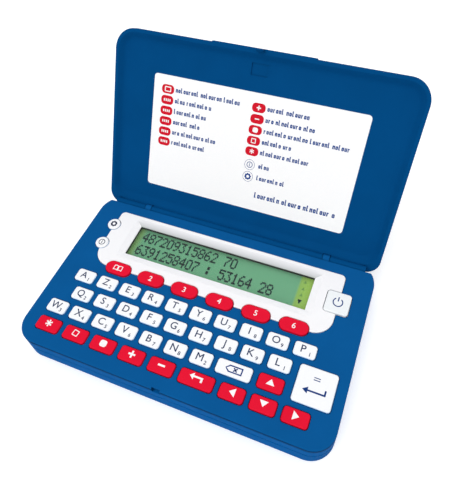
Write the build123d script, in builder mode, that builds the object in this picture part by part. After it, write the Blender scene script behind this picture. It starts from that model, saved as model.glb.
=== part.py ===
from build123d import *
import math
import os

# Folding pocket electronic dictionary: a keyboard base with a small display and a
# hinged lid.  Millimetres, +Z up, +X to the user's right, +Y away from the user.
# The origin is the centre of the base's underside.  The lid stands open.

# ---------------------------------------------------------------- driving dimensions
BASE_WIDTH = 130.0
BASE_DEPTH = 80.0
BASE_HEIGHT = 13.5
CORNER_RADIUS = 9.0
REAR_CORNER_RADIUS = 10.5
WALL = 1.6
WALL_FLARE = 0.6           # the base is this much wider each side at its underside
PART_LINE = 6.5            # top of the bottom case
PART_GAP = 0.7             # shadow groove between the two cases
CREASE_TOP = 12.9          # a finer groove runs round the top case under its top edge
CREASE_HEIGHT = 0.5
CREASE_DEPTH = 0.45
CLEARANCE = 0.3            # between bodies that move past each other
FIT = 0.2                  # between pieces fixed in one body
EDGE_ROUND = 0.6
UNDERSIDE_ROUND = 0.7
LIP_THICKNESS = 0.9        # the lip of the bottom case that stands inside the top case
LIP_HEIGHT = 1.0
RIB_THICKNESS = 0.6
RIB_LENGTH = 104.0
RIB_X = -4.0

# Hinge: the lid's rear edge is a roll that turns in a trough across the base.
HINGE_Y = 37.6
HINGE_Z = 12.6
LID_OPEN_ANGLE = 120.0
ROLL_RADIUS = 1.6
ROLL_NECK_FRONT = 1.25     # the neck above the roll starts this far ahead of the axis
NECK_OVERLAP = 0.2         # how far the neck reaches into the lid
ROLL_LENGTH = 120.0
EAR_X = 43.0
EAR_WIDTH = 2.8
EAR_RADIUS = 1.75
PIN_RADIUS = 0.8
PIN_PLAY = 0.08
TROUGH_FLOOR = 9.3
TROUGH_REAR_START = 37.2
TROUGH_WALL = 1.2
TROUGH_LEDGE = 1.4

# Lid, drawn closed and then turned open.
LID_RIM_Z = 13.8
LID_THICKNESS = 5.2
LID_RECESS = 2.1
LID_RIM_WIDTH = 1.4
LID_SLOPE = 2.6            # width of the slope from the rim down to the lid's inner floor
LID_SLOPE_ROUND = 3.0
LID_REAR_Y = 39.2
LID_REAR_CORNER = 6.0
LID_RECESS_REAR_Y = 36.4
LID_REAR_ROUND = 4.4
LID_EDGE_ROUND = 2.0
THUMB_LIP_WIDTH = 43.0
THUMB_LIP_REACH = 0.5
THUMB_LIP_HEIGHT = 1.8
THUMB_LIP_CORNER = 0.4
CARD_WIDTH = 92.9
CARD_HEIGHT = 49.9
CARD_THICKNESS = 0.25
CARD_CORNER = 1.5
CARD_Y = 1.0

# Latch tongue on the lid and the recess and window that take it.
LATCH_X = -0.6
TONGUE_WIDTH = 2.8
TONGUE_THICKNESS = 0.7
TONGUE_LENGTH = 2.8
TONGUE_ROOT = 0.5          # how far the tongue reaches into the lid's rim
BARB_DEPTH = 0.25
BARB_HEIGHT = 0.9          # the barb is deepest this far above the tongue's tip
BARB_BACK = 0.4
LATCH_RECESS_DEPTH = 0.75
LATCH_WINDOW_SILL = 10.8
LATCH_WINDOW_HEIGHT = 1.7
LATCH_SINK_SIZE = (7.0, 6.5)
LATCH_SINK_Y = -33.5
LATCH_SINK_DEPTH = 0.4

# Keys.
KEY_PITCH = 10.82
ROW_PITCH = 8.31
TOP_ROW_Y = -6.28
ROW_1_LEFT = -51.05
ROW_2_LEFT = -47.55
ROW_3_LEFT = -54.3
LETTER_KEY = (8.7, 5.75)
KEY_DEPTH = 5.75
KEY_CORNER = 1.2
KEY_TOP = 14.15
KEY_TRAVEL = 0.7
WIDE_KEY = 12.5            # a key wider than this has two switch domes
CAP_EDGE = 0.5
FLANGE_LIP = 0.5
FLANGE_THICKNESS = 0.8
ROUND_END_FLAT = 0.01      # left straight between the half circles at a round key's ends
RED_KEY_WIDTH = 10.35
RED_KEY_PITCH = 12.72
RED_ROW_LEFT = -53.18
BACK_KEY_X = 12.15
BACK_KEY_WIDTH = 13.8
ARROW_KEY_WIDTH = 9.7
ARROW_PITCH = 11.94
ARROW_LEFT_X = 26.2
CLEAR_KEY_X = 23.85
CLEAR_KEY_WIDTH = 13.9
ENTER_KEY_X = 53.6
ENTER_KEY_SIZE = (14.5, 14.4)
MENU_KEY_SIZE = (11.8, 5.85)
MENU_KEY_PITCH = 15.77
MENU_KEY_COUNT = 6
MENU_KEY_Y = 1.8
MENU_KEY_TOP = 14.5
SIDE_KEY_DIAMETER = 5.9
SIDE_KEY_X = -53.45
SETTINGS_KEY_Y = 22.7
INFO_KEY_Y = 11.7
POWER_KEY_SIZE = 9.75
POWER_KEY_AT = (52.9, 17.4)
SIDE_KEY_TOP = 14.5

# Display.
BEZEL_WIDTH = 106.6
BEZEL_FRONT_Y = 1.75
BEZEL_REAR_Y = 31.1
BEZEL_TOP = 14.0
BEZEL_REAR_RADIUS = 2.0
BEZEL_FRONT_RADIUS = 7.7
BEZEL_POCKET_Z = 12.5
BEZEL_EDGE_ROUND = 0.4
WINDOW = (82.7, 15.9)
WINDOW_Y = 18.5
WINDOW_EDGE_Z = 12.9
WINDOW_SLOPE = 3.0
WINDOW_CORNER = 1.0
LENS = (87.4, 19.6)
LENS_THICKNESS = 0.8
DISPLAY_MODULE = (87.0, 19.4)
DISPLAY_GLASS_Z = 10.7
DISPLAY_FRAME_WIDTH = 1.3

# Inside.
BOARD_WIDTH = 118.0
BOARD_FRONT_Y = -36.5
BOARD_REAR_Y = 33.5
BOARD_Z = 7.0
BOARD_THICKNESS = 1.2
BOARD_CORNER = 4.0
CHIP_AT = (24.0, -20.0)
CHIP_RADIUS = 6.0
CHIP_HEIGHT = 1.5
CHIP_SLOPE = 30.0
MAT_THICKNESS = 1.0
MAT_WIDTH = 117.0
MAT_MARGIN = 4.6           # the mat ends this far beyond its front and rear keys' centres
MAT_TONGUE_WIDTH = 11.0
MAT_TONGUE_REAR_Y = 28.0
DOME_RADIUS = 2.3
DOME_SLOPE = 35.0
SUPPORT_RADIUS = 1.5
SUPPORT_X = 44.0
SUPPORT_ROWS = (-28.0, -12.0, 24.0)
SCREW_X = 61.3
SCREW_FRONT_Y = -32.0
SCREW_REAR_Y = 27.0
SCREW_BOSS_RADIUS = 1.7
SCREW_POST_WALL = 1.2
SCREW_HEAD_RADIUS = 1.8
SCREW_HEAD_HEIGHT = 1.2
SCREW_RADIUS = 0.95
SCREW_LENGTH = 5.0
SCREW_BITE = 0.05          # the pilot holes are larger than the threads' core by this
SCREW_SLOT = (2.2, 0.5, 0.6)
PILOT_SPARE = 0.8          # a pilot hole goes on this far past its screw
CASE_SCREW_SEAT = 4.6      # height of the shoulder that each case screw pulls on
DOOR = (54.0, 27.0)
DOOR_Y = 10.0
DOOR_THICKNESS = 1.4
DOOR_TAB_INSET = 3.0
DOOR_SEAT_THICKNESS = 0.4  # left under the head of the door's screw
DOOR_POST_WALL = 1.5
DOOR_GRIP = (16.0, 1.0, 0.5)
DOOR_GRIP_COUNT = 3
DOOR_GRIP_PITCH = 2.0
DOOR_GRIP_INSET = 5.0
CELL_DIAMETER = 20.0
CELL_THICKNESS = 3.2
CELL_CAP_INSET = 1.1
CELL_CAP_HEIGHT = 0.4
CELL_SPACING = 24.0
CELL_Y = 13.0
CELL_Z = 2.05
BAY = (48.0, 21.5)
BAY_WALL = 1.2
BAY_ROOF_Z = 5.6
ROOF_CONTACT = (12.0, 9.0)
BRIDGE_CONTACT = (34.0, 7.0)
CONTACT_CORNER = 1.5

# ---------------------------------------------------------------- derived heights
TOP_PLATE_Z = BASE_HEIGHT - WALL
TOP_CASE_Z = PART_LINE + PART_GAP
FLANGE_TOP = TOP_PLATE_Z - CLEARANCE
FLANGE_BOTTOM = FLANGE_TOP - FLANGE_THICKNESS
MAT_Z = BOARD_Z + BOARD_THICKNESS
MAT_TOP_Z = MAT_Z + MAT_THICKNESS
DOME_HEIGHT = FLANGE_BOTTOM - KEY_TRAVEL - CLEARANCE - MAT_TOP_Z
LENS_UNDERSIDE_Z = BEZEL_POCKET_Z - LENS_THICKNESS
LID_TOP_Z = LID_RIM_Z + LID_THICKNESS
LID_FLOOR_Z = LID_RIM_Z + LID_RECESS
HINGE_AXIS = Axis((0, HINGE_Y, HINGE_Z), (1, 0, 0))
FRONT_Y = -BASE_DEPTH / 2


def at_height(z):
    """A level drawing plane at height z."""
    return Plane.XY.offset(z)


def across_at(x):
    """An upright drawing plane across the hinge at x, drawn in Y and Z."""
    return Plane(origin=(x, 0, 0), x_dir=(0, 1, 0), z_dir=(1, 0, 0))


def write(builder, label):
    """Label a finished piece and write it as its own STEP file."""
    builder.part.label = label
    export_step(builder.part, "parts/" + label + ".step")


os.makedirs("parts", exist_ok=True)

# ---------------------------------------------------------------- key layout
# Each key is (name, x, y, width, depth, corner radius, height of its top).


def row_y(row):
    """Centre line of a keyboard row, counted from the back."""
    return TOP_ROW_Y - row * ROW_PITCH


def letter_keys():
    """Three staggered rows of letter keys."""
    rows = (("azertyuiop", ROW_1_LEFT), ("qsdfghjkl", ROW_2_LEFT), ("wxcvbnm", ROW_3_LEFT))
    keys = []
    for row, (letters, left) in enumerate(rows):
        for place, letter in enumerate(letters):
            x = left + place * KEY_PITCH
            keys.append(("key_" + letter, x, row_y(row), *LETTER_KEY, KEY_CORNER, KEY_TOP))
    return keys


def white_function_keys():
    """The wide clear key and the double height enter key."""
    enter_y = (row_y(1) + row_y(2)) / 2
    return [
        ("key_clear", CLEAR_KEY_X, row_y(2), CLEAR_KEY_WIDTH, KEY_DEPTH, KEY_CORNER, KEY_TOP),
        ("key_enter", ENTER_KEY_X, enter_y, *ENTER_KEY_SIZE, KEY_CORNER, KEY_TOP),
    ]


def red_keys():
    """The front row of red keys, and the up key above it."""
    keys = []
    for place, name in enumerate(("star", "frame", "dot", "plus", "minus")):
        x = RED_ROW_LEFT + place * RED_KEY_PITCH
        keys.append(("key_" + name, x, row_y(3), RED_KEY_WIDTH, KEY_DEPTH, KEY_CORNER, KEY_TOP))
    keys.append(("key_back", BACK_KEY_X, row_y(3), BACK_KEY_WIDTH, KEY_DEPTH, KEY_CORNER, KEY_TOP))
    for place, name in enumerate(("left", "down", "right")):
        x = ARROW_LEFT_X + place * ARROW_PITCH
        keys.append(("key_" + name, x, row_y(3), ARROW_KEY_WIDTH, KEY_DEPTH, KEY_CORNER, KEY_TOP))
    up_x = ARROW_LEFT_X + ARROW_PITCH
    keys.append(("key_up", up_x, row_y(2), ARROW_KEY_WIDTH, KEY_DEPTH, KEY_CORNER, KEY_TOP))
    return keys


def full_round(width):
    """Corner radius of a key whose ends are all but half circles."""
    return width / 2 - ROUND_END_FLAT


def menu_keys():
    """Six red pill keys astride the front edge of the display bezel."""
    keys = []
    corner = full_round(MENU_KEY_SIZE[1])
    for place in range(MENU_KEY_COUNT):
        x = (place - (MENU_KEY_COUNT - 1) / 2) * MENU_KEY_PITCH
        keys.append((f"key_menu_{place + 1}", x, MENU_KEY_Y, *MENU_KEY_SIZE, corner, MENU_KEY_TOP))
    return keys


def side_keys():
    """Two round keys on the left edge of the bezel and the power key on the right."""
    size = (SIDE_KEY_DIAMETER, SIDE_KEY_DIAMETER, full_round(SIDE_KEY_DIAMETER))
    power = (POWER_KEY_SIZE, POWER_KEY_SIZE, KEY_CORNER)
    return [
        ("key_settings", SIDE_KEY_X, SETTINGS_KEY_Y, *size, SIDE_KEY_TOP),
        ("key_info", SIDE_KEY_X, INFO_KEY_Y, *size, SIDE_KEY_TOP),
        ("key_power", *POWER_KEY_AT, *power, SIDE_KEY_TOP),
    ]


BEZEL_KEYS = menu_keys() + side_keys()
ALL_KEYS = letter_keys() + white_function_keys() + red_keys() + BEZEL_KEYS


def key_outlines(keys, margin):
    """Draw every key's outline, grown by a margin, in the sketch that is open."""
    for _, x, y, width, depth, corner, _ in keys:
        with Locations((x, y)):
            RectangleRounded(width + 2 * margin, depth + 2 * margin, corner + margin)


def case_outline(width, front_y, rear_y, front_radius, rear_radius):
    """A rectangle whose front and rear corners have radii of their own."""
    with BuildLine() as outline:
        FilletPolyline(
            (-width / 2, front_y),
            (width / 2, front_y),
            (width / 2, rear_y),
            (-width / 2, rear_y),
            radius=[front_radius, front_radius, rear_radius, rear_radius],
            close=True,
        )
    return outline.edges()


def base_outline(margin):
    """The outline of the base's top, grown by a margin."""
    return case_outline(
        BASE_WIDTH + 2 * margin,
        -BASE_DEPTH / 2 - margin,
        BASE_DEPTH / 2 + margin,
        CORNER_RADIUS + margin,
        REAR_CORNER_RADIUS + margin,
    )


def bezel_outline(margin):
    """The display bezel's outline, grown by a margin."""
    return case_outline(
        BEZEL_WIDTH + 2 * margin,
        BEZEL_FRONT_Y - margin,
        BEZEL_REAR_Y + margin,
        BEZEL_FRONT_RADIUS + margin,
        BEZEL_REAR_RADIUS + margin,
    )


# ---------------------------------------------------------------- casing
FLARE_ANGLE = math.degrees(math.atan(WALL_FLARE / BASE_HEIGHT))
INNER_SIZE = (BASE_WIDTH - 2 * WALL, BASE_DEPTH - 2 * WALL, CORNER_RADIUS - WALL)
SCREW_PLACES = [(x, y) for x in (-SCREW_X, SCREW_X) for y in (SCREW_FRONT_Y, SCREW_REAR_Y)]

# The outer form of the whole base, from which both cases are cut.
with BuildPart() as base_form:
    with BuildSketch():
        make_face(base_outline(WALL_FLARE))
    extrude(amount=BASE_HEIGHT, taper=FLARE_ANGLE)
    fillet(base_form.faces().sort_by(Axis.Z)[-1].edges(), EDGE_ROUND)
    fillet(base_form.faces().sort_by(Axis.Z)[0].edges(), UNDERSIDE_ROUND)

# The trough for the lid's roll: a round front half, and a rear half open to the back.
with BuildPart() as trough:
    with BuildSketch(across_at(0)):
        with Locations((HINGE_Y, HINGE_Z)):
            Circle(ROLL_RADIUS + CLEARANCE)
        with Locations((HINGE_Y, BASE_HEIGHT)):
            Rectangle(2 * ROLL_RADIUS, 2 * (BASE_HEIGHT - HINGE_Z))
        with Locations((TROUGH_REAR_START, TROUGH_FLOOR)):
            Rectangle(BASE_DEPTH, BASE_HEIGHT, align=(Align.MIN, Align.MIN))
    extrude(amount=BASE_WIDTH, both=True)

EAR_FRONT_Y = HINGE_Y - EAR_RADIUS - CLEARANCE
TROUGH_WALL_Y = EAR_FRONT_Y - TROUGH_WALL
LEDGE_Z = TROUGH_FLOOR - TROUGH_LEDGE
RIB_PLACES = [(RIB_X, (row_y(row) + row_y(row + 1)) / 2) for row in (0, 2)]
PILOT_RADIUS = SCREW_RADIUS + SCREW_BITE
BACKING_WIDTH = TONGUE_WIDTH + 4 * WALL
BACKING_DEPTH = LATCH_RECESS_DEPTH + WALL

# Keyboard half of the casing: top plate with all key openings, walls and hinge ears.
with BuildPart() as top_case:
    add(base_form.part)
    split(bisect_by=at_height(TOP_CASE_Z), keep=Keep.TOP)
    # Hollow below the top plate, stopping short of the trough.
    with BuildSketch(at_height(TOP_CASE_Z)):
        RectangleRounded(*INNER_SIZE)
    extrude(amount=LEDGE_Z - TOP_CASE_Z, mode=Mode.SUBTRACT)
    with BuildSketch(at_height(LEDGE_Z)):
        RectangleRounded(*INNER_SIZE)
        with Locations((0, TROUGH_WALL_Y)):
            Rectangle(
                BASE_WIDTH, BASE_DEPTH, align=(Align.CENTER, Align.MIN), mode=Mode.SUBTRACT
            )
    extrude(amount=TOP_PLATE_Z - LEDGE_Z, mode=Mode.SUBTRACT)
    # Screw bosses, the ribs that hold the key mat down, and the backing of the latch.
    with BuildSketch(at_height(TOP_CASE_Z)):
        with Locations(*SCREW_PLACES):
            Circle(SCREW_BOSS_RADIUS)
    extrude(amount=TOP_PLATE_Z - TOP_CASE_Z)
    with BuildSketch(at_height(MAT_TOP_Z)):
        with Locations(*RIB_PLACES):
            Rectangle(RIB_LENGTH, RIB_THICKNESS)
    extrude(amount=TOP_PLATE_Z - MAT_TOP_Z)
    with BuildSketch(at_height(TOP_CASE_Z)):
        with Locations((LATCH_X, FRONT_Y + WALL / 2)):
            Rectangle(BACKING_WIDTH, BACKING_DEPTH - WALL / 2, align=(Align.CENTER, Align.MIN))
    extrude(amount=TOP_PLATE_Z - TOP_CASE_Z)
    # Fine groove round the outside, under the top edge.
    with BuildSketch(at_height(CREASE_TOP - CREASE_HEIGHT)):
        Rectangle(2 * BASE_WIDTH, 2 * BASE_DEPTH)
        make_face(base_outline(-CREASE_DEPTH), mode=Mode.SUBTRACT)
    extrude(amount=CREASE_HEIGHT, mode=Mode.SUBTRACT)
    # Trough along the rear, then the two ears that hold the lid's pins.
    add(trough.part, mode=Mode.SUBTRACT)
    for side in (-1, 1):
        ear_plane = across_at(side * EAR_X - EAR_WIDTH / 2)
        with BuildSketch(ear_plane):
            with Locations((HINGE_Y, HINGE_Z)):
                Circle(EAR_RADIUS)
            with Locations((EAR_FRONT_Y, TROUGH_FLOOR)):
                Rectangle(
                    HINGE_Y - EAR_FRONT_Y,
                    HINGE_Z - TROUGH_FLOOR,
                    align=(Align.MIN, Align.MIN),
                )
        extrude(amount=EAR_WIDTH)
        with BuildSketch(ear_plane):
            with Locations((HINGE_Y, HINGE_Z)):
                Circle(PIN_RADIUS + PIN_PLAY)
        extrude(amount=EAR_WIDTH, mode=Mode.SUBTRACT)
    # Pocket for the display bezel and the opening that the display shows through.
    with BuildSketch(at_height(BEZEL_POCKET_Z)):
        make_face(bezel_outline(FIT))
    extrude(amount=BASE_HEIGHT, mode=Mode.SUBTRACT)
    with BuildSketch(at_height(TOP_PLATE_Z)):
        with Locations((0, WINDOW_Y)):
            Rectangle(LENS[0] + 2 * FIT, LENS[1] + 2 * FIT)
    extrude(amount=BASE_HEIGHT, mode=Mode.SUBTRACT)
    # Key openings.
    with BuildSketch(at_height(TOP_PLATE_Z)):
        key_outlines(ALL_KEYS, CLEARANCE)
    extrude(amount=BASE_HEIGHT, mode=Mode.SUBTRACT)
    # Screw pilot holes.
    with BuildSketch(at_height(TOP_CASE_Z)):
        with Locations(*SCREW_PLACES):
            Circle(PILOT_RADIUS)
    extrude(amount=CASE_SCREW_SEAT + SCREW_LENGTH + PILOT_SPARE - TOP_CASE_Z, mode=Mode.SUBTRACT)
    # Shallow latch recess in the front wall, and the window that the barb drops into.
    with BuildSketch(at_height(LATCH_WINDOW_SILL)):
        with Locations((LATCH_X, FRONT_Y)):
            Rectangle(TONGUE_WIDTH + 2 * CLEARANCE, 2 * LATCH_RECESS_DEPTH)
    extrude(amount=BASE_HEIGHT, mode=Mode.SUBTRACT)
    with BuildSketch(at_height(LATCH_WINDOW_SILL)):
        with Locations((LATCH_X, FRONT_Y)):
            Rectangle(TONGUE_WIDTH, 2 * BACKING_DEPTH)
    extrude(amount=LATCH_WINDOW_HEIGHT, mode=Mode.SUBTRACT)
write(top_case, "top_case")

BAY_PLACE = (0, CELL_Y)
DOOR_TAB_Y = DOOR_Y - DOOR[1] / 2 + DOOR_TAB_INSET
SUPPORT_PLACES = [(side * SUPPORT_X, y) for side in (-1, 1) for y in SUPPORT_ROWS]
SUPPORT_PLACES += [(0, y) for y in SUPPORT_ROWS[:2]]
LIP_SIZE = [INNER_SIZE[0] - 2 * FIT, INNER_SIZE[1] - 2 * FIT, INNER_SIZE[2] - FIT]
LIP_INSIDE = [
    LIP_SIZE[0] - 2 * LIP_THICKNESS,
    LIP_SIZE[1] - 2 * LIP_THICKNESS,
    LIP_SIZE[2] - LIP_THICKNESS,
]

# Lower half of the casing: floor, walls, battery bay, screw posts and board supports.
with BuildPart() as bottom_case:
    add(base_form.part)
    split(bisect_by=at_height(PART_LINE), keep=Keep.BOTTOM)
    with BuildSketch(at_height(WALL)):
        RectangleRounded(*INNER_SIZE)
    extrude(amount=PART_LINE, mode=Mode.SUBTRACT)
    # A thin lip stands inside the top case and closes the groove between the halves.
    with BuildSketch(at_height(WALL)):
        RectangleRounded(*INNER_SIZE)
        RectangleRounded(*LIP_INSIDE, mode=Mode.SUBTRACT)
    extrude(amount=PART_LINE - WALL)
    with BuildSketch(at_height(PART_LINE)):
        RectangleRounded(*LIP_SIZE)
        RectangleRounded(*LIP_INSIDE, mode=Mode.SUBTRACT)
        with Locations(*SCREW_PLACES):
            Circle(SCREW_BOSS_RADIUS + CLEARANCE, mode=Mode.SUBTRACT)
        with Locations((LATCH_X, FRONT_Y)):
            Rectangle(
                BACKING_WIDTH + 2 * CLEARANCE,
                2 * (BACKING_DEPTH + CLEARANCE),
                mode=Mode.SUBTRACT,
            )
    extrude(amount=LIP_HEIGHT)
    # Screw posts, board supports, and the walls and roof of the battery bay.
    with BuildSketch(at_height(WALL)):
        with Locations(*SCREW_PLACES):
            Circle(SCREW_HEAD_RADIUS + SCREW_POST_WALL)
    extrude(amount=PART_LINE - WALL)
    with BuildSketch(at_height(WALL)):
        with Locations(*SUPPORT_PLACES):
            Circle(SUPPORT_RADIUS)
    extrude(amount=BOARD_Z - WALL)
    with BuildSketch(at_height(WALL)):
        with Locations(BAY_PLACE):
            Rectangle(BAY[0] + 2 * BAY_WALL, BAY[1] + 2 * BAY_WALL)
    extrude(amount=BOARD_Z - FIT - WALL)
    with BuildSketch(at_height(WALL)):
        with Locations((0, DOOR_TAB_Y)):
            Circle(SCREW_RADIUS + DOOR_POST_WALL)
    extrude(amount=BOARD_Z - FIT - WALL)
    # Opening for the battery door, with a ledge for it, and the bay above.
    with BuildSketch():
        with Locations((0, DOOR_Y)):
            Rectangle(DOOR[0] + 2 * FIT, DOOR[1] + 2 * FIT)
    extrude(amount=DOOR_THICKNESS, mode=Mode.SUBTRACT)
    with BuildSketch(at_height(DOOR_THICKNESS)):
        with Locations(BAY_PLACE):
            Rectangle(*BAY)
    extrude(amount=BAY_ROOF_Z - DOOR_THICKNESS, mode=Mode.SUBTRACT)
    # Screw holes: deep counterbores for the case screws, a pilot for the door screw.
    with BuildSketch():
        with Locations(*SCREW_PLACES):
            Circle(SCREW_HEAD_RADIUS + FIT)
    extrude(amount=CASE_SCREW_SEAT, mode=Mode.SUBTRACT)
    with BuildSketch():
        with Locations(*SCREW_PLACES):
            Circle(SCREW_RADIUS + FIT)
    extrude(amount=BASE_HEIGHT, mode=Mode.SUBTRACT)
    with BuildSketch(at_height(DOOR_THICKNESS)):
        with Locations((0, DOOR_TAB_Y)):
            Circle(PILOT_RADIUS)
    extrude(amount=SCREW_LENGTH + CLEARANCE, mode=Mode.SUBTRACT)
write(bottom_case, "bottom_case")

# Battery door: a flat plate held by one screw at its front edge.
with BuildPart() as battery_door:
    with BuildSketch():
        with Locations((0, DOOR_Y)):
            Rectangle(*DOOR)
    extrude(amount=DOOR_THICKNESS)
    with BuildSketch():
        with Locations((0, DOOR_Y + DOOR[1] / 2 - DOOR_GRIP_INSET)):
            with GridLocations(0, DOOR_GRIP_PITCH, 1, DOOR_GRIP_COUNT):
                SlotOverall(*DOOR_GRIP[:2])
    extrude(amount=DOOR_GRIP[2], mode=Mode.SUBTRACT)
    with BuildSketch():
        with Locations((0, DOOR_TAB_Y)):
            Circle(SCREW_HEAD_RADIUS + FIT)
    extrude(amount=DOOR_THICKNESS - DOOR_SEAT_THICKNESS, mode=Mode.SUBTRACT)
    with BuildSketch():
        with Locations((0, DOOR_TAB_Y)):
            Circle(SCREW_RADIUS + FIT)
    extrude(amount=DOOR_THICKNESS, mode=Mode.SUBTRACT)
write(battery_door, "battery_door")

# Five identical pan head screws: four through the bottom case, one in the battery door.
SCREW_SEATS = [(x, y, CASE_SCREW_SEAT) for x, y in SCREW_PLACES]
SCREW_SEATS.append((0, DOOR_TAB_Y, DOOR_THICKNESS - DOOR_SEAT_THICKNESS))
with BuildPart() as case_screws:
    for x, y, seat in SCREW_SEATS:
        head_depth = min(SCREW_HEAD_HEIGHT, seat)
        with BuildSketch(Plane((x, y, seat - head_depth))):
            Circle(SCREW_HEAD_RADIUS)
        extrude(amount=head_depth)
        with BuildSketch(Plane((x, y, seat))):
            Circle(SCREW_RADIUS)
        extrude(amount=SCREW_LENGTH)
        with BuildSketch(Plane((x, y, seat - head_depth))):
            Rectangle(SCREW_SLOT[0], SCREW_SLOT[1])
            Rectangle(SCREW_SLOT[1], SCREW_SLOT[0])
        extrude(amount=SCREW_SLOT[2], mode=Mode.SUBTRACT)
write(case_screws, "case_screws")

CELL_PLACES = [(side * CELL_SPACING / 2, CELL_Y) for side in (-1, 1)]

# Two lithium coin cells side by side, each a steel cup with a smaller cap below.
with BuildPart() as coin_cells:
    with BuildSketch(at_height(CELL_Z)):
        with Locations(*CELL_PLACES):
            Circle(CELL_DIAMETER / 2 - CELL_CAP_INSET)
    extrude(amount=CELL_THICKNESS)
    with BuildSketch(at_height(CELL_Z + CELL_CAP_HEIGHT)):
        with Locations(*CELL_PLACES):
            Circle(CELL_DIAMETER / 2)
    extrude(amount=CELL_THICKNESS - CELL_CAP_HEIGHT)
write(coin_cells, "coin_cells")

# Contact strips: one on the roof above each cell, and a bridge under both on the door.
with BuildPart() as battery_contacts:
    with BuildSketch(at_height(CELL_Z + CELL_THICKNESS)):
        with Locations(*CELL_PLACES):
            RectangleRounded(*ROOF_CONTACT, CONTACT_CORNER)
    extrude(amount=BAY_ROOF_Z - CELL_Z - CELL_THICKNESS)
    with BuildSketch(at_height(DOOR_THICKNESS)):
        with Locations(BAY_PLACE):
            RectangleRounded(*BRIDGE_CONTACT, CONTACT_CORNER)
    extrude(amount=CELL_Z - DOOR_THICKNESS)
write(battery_contacts, "battery_contacts")

# Circuit board with the bonded chip under a resin blob on its lower face.
with BuildPart() as main_board:
    with BuildSketch(at_height(BOARD_Z)):
        with Locations((0, (BOARD_FRONT_Y + BOARD_REAR_Y) / 2)):
            RectangleRounded(BOARD_WIDTH, BOARD_REAR_Y - BOARD_FRONT_Y, BOARD_CORNER)
    extrude(amount=BOARD_THICKNESS)
    with BuildSketch(at_height(BOARD_Z)):
        with Locations(CHIP_AT):
            Circle(CHIP_RADIUS)
    extrude(amount=-CHIP_HEIGHT, taper=CHIP_SLOPE)
write(main_board, "main_board")

MAT_FRONT_Y = row_y(3) - MAT_MARGIN
MAT_REAR_Y = MENU_KEY_Y + MAT_MARGIN


def dome_places():
    """One switch dome under each key, two under each long key."""
    places = []
    for _, x, y, width, _, _, _ in ALL_KEYS:
        if width > WIDE_KEY:
            places += [(x - width / 4, y), (x + width / 4, y)]
        else:
            places.append((x, y))
    return places


# Silicone key mat with its switch domes, drawn at their pressed height.
with BuildPart() as key_mat:
    with BuildSketch(at_height(MAT_Z)):
        with Locations((0, (MAT_FRONT_Y + MAT_REAR_Y) / 2)):
            Rectangle(MAT_WIDTH, MAT_REAR_Y - MAT_FRONT_Y)
        for side in (-1, 1):
            with Locations((side * (MAT_WIDTH - MAT_TONGUE_WIDTH) / 2, MAT_REAR_Y)):
                Rectangle(
                    MAT_TONGUE_WIDTH,
                    MAT_TONGUE_REAR_Y - MAT_REAR_Y,
                    align=(Align.CENTER, Align.MIN),
                )
    extrude(amount=MAT_THICKNESS)
    with BuildSketch(at_height(MAT_TOP_Z)):
        with Locations(*dome_places()):
            Circle(DOME_RADIUS)
    extrude(amount=DOME_HEIGHT, taper=DOME_SLOPE)
write(key_mat, "key_mat")

# ---------------------------------------------------------------- display
# White bezel with a sloped frame down to the window, notched round the keys astride it.
with BuildPart() as display_bezel:
    with BuildSketch(at_height(BEZEL_POCKET_Z)):
        make_face(bezel_outline(0))
    extrude(amount=BEZEL_TOP - BEZEL_POCKET_Z)
    fillet(display_bezel.faces().sort_by(Axis.Z)[-1].edges(), BEZEL_EDGE_ROUND)
    with BuildSketch(at_height(BEZEL_POCKET_Z)):
        with Locations((0, WINDOW_Y)):
            Rectangle(*WINDOW)
    extrude(amount=BEZEL_TOP, mode=Mode.SUBTRACT)
    with BuildSketch(at_height(WINDOW_EDGE_Z)):
        with Locations((0, WINDOW_Y)):
            Rectangle(*WINDOW)
    with BuildSketch(at_height(BEZEL_TOP)):
        with Locations((0, WINDOW_Y)):
            RectangleRounded(
                WINDOW[0] + 2 * WINDOW_SLOPE, WINDOW[1] + 2 * WINDOW_SLOPE, WINDOW_CORNER
            )
    loft(mode=Mode.SUBTRACT)
    with BuildSketch(at_height(BEZEL_POCKET_Z)):
        key_outlines(BEZEL_KEYS, CLEARANCE)
    extrude(amount=BEZEL_TOP, mode=Mode.SUBTRACT)
write(display_bezel, "display_bezel")

# Clear window under the bezel.
with BuildPart() as display_lens:
    with BuildSketch(at_height(BEZEL_POCKET_Z)):
        with Locations((0, WINDOW_Y)):
            Rectangle(*LENS)
    extrude(amount=-LENS_THICKNESS)
write(display_lens, "display_lens")

# Two line liquid crystal module: glass in a frame, standing on the board.
with BuildPart() as lcd_module:
    with BuildSketch(at_height(MAT_Z)):
        with Locations((0, WINDOW_Y)):
            Rectangle(*DISPLAY_MODULE)
    extrude(amount=LENS_UNDERSIDE_Z - MAT_Z)
    with BuildSketch(at_height(DISPLAY_GLASS_Z)):
        with Locations((0, WINDOW_Y)):
            Rectangle(
                DISPLAY_MODULE[0] - 2 * DISPLAY_FRAME_WIDTH,
                DISPLAY_MODULE[1] - 2 * DISPLAY_FRAME_WIDTH,
            )
    extrude(amount=LENS_UNDERSIDE_Z, mode=Mode.SUBTRACT)
write(lcd_module, "lcd_module")

# ---------------------------------------------------------------- keys
# Each key is a hard cap over a thin flange that keeps it under the top plate.
for name, x, y, width, depth, corner, top in ALL_KEYS:
    with BuildPart() as key:
        with BuildSketch(Plane((x, y, FLANGE_BOTTOM))):
            RectangleRounded(width + 2 * FLANGE_LIP, depth + 2 * FLANGE_LIP, corner + FLANGE_LIP)
        extrude(amount=FLANGE_THICKNESS)
        with BuildSketch(Plane((x, y, FLANGE_TOP))):
            RectangleRounded(width, depth, corner)
        extrude(amount=top - FLANGE_TOP)
        fillet(key.faces().sort_by(Axis.Z)[-1].edges(), CAP_EDGE)
    write(key, name)

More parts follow.
